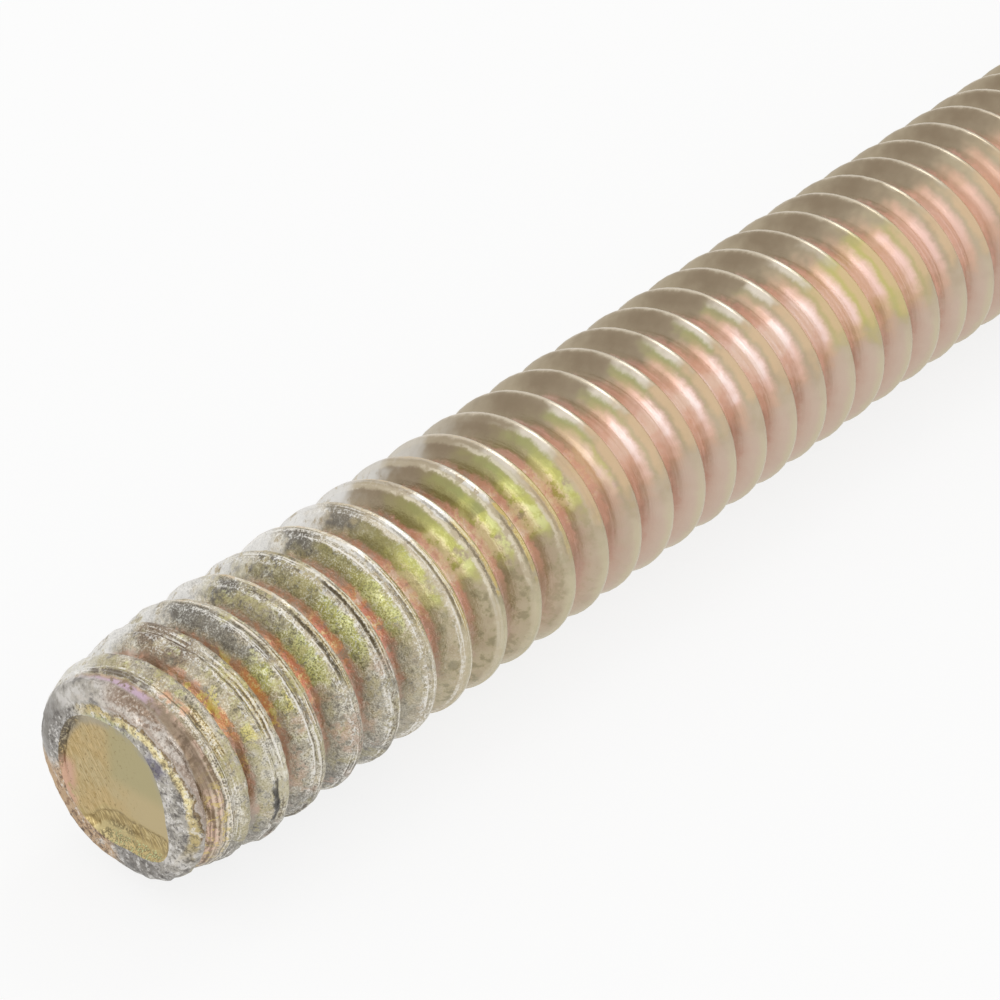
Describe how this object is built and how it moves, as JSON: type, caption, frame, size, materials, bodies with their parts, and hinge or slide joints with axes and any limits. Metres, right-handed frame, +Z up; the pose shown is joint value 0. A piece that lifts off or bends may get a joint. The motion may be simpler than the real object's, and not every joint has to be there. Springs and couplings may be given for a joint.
{
  "type": "threaded rod",
  "caption": "Fully threaded steel rod with a right-hand 24-per-inch rolled thread and sheared ends, zinc plated and yellow chromated.",
  "frame": {"origin": "on the rod's axis, halfway between its two end faces", "axes": "+X along the rod's axis, from the sheared end that the picture shows to the other end; +Z up with the rod lying down"},
  "size_m": [0.0762, 0.0048, 0.0048],
  "materials": {
    "yellow_zinc_steel": "zinc plated with yellow iridescent chromate, patchy"
  },
  "bodies": {
    "root": {"threaded_rod": "yellow_zinc_steel"}
  },
  "joints": []
}
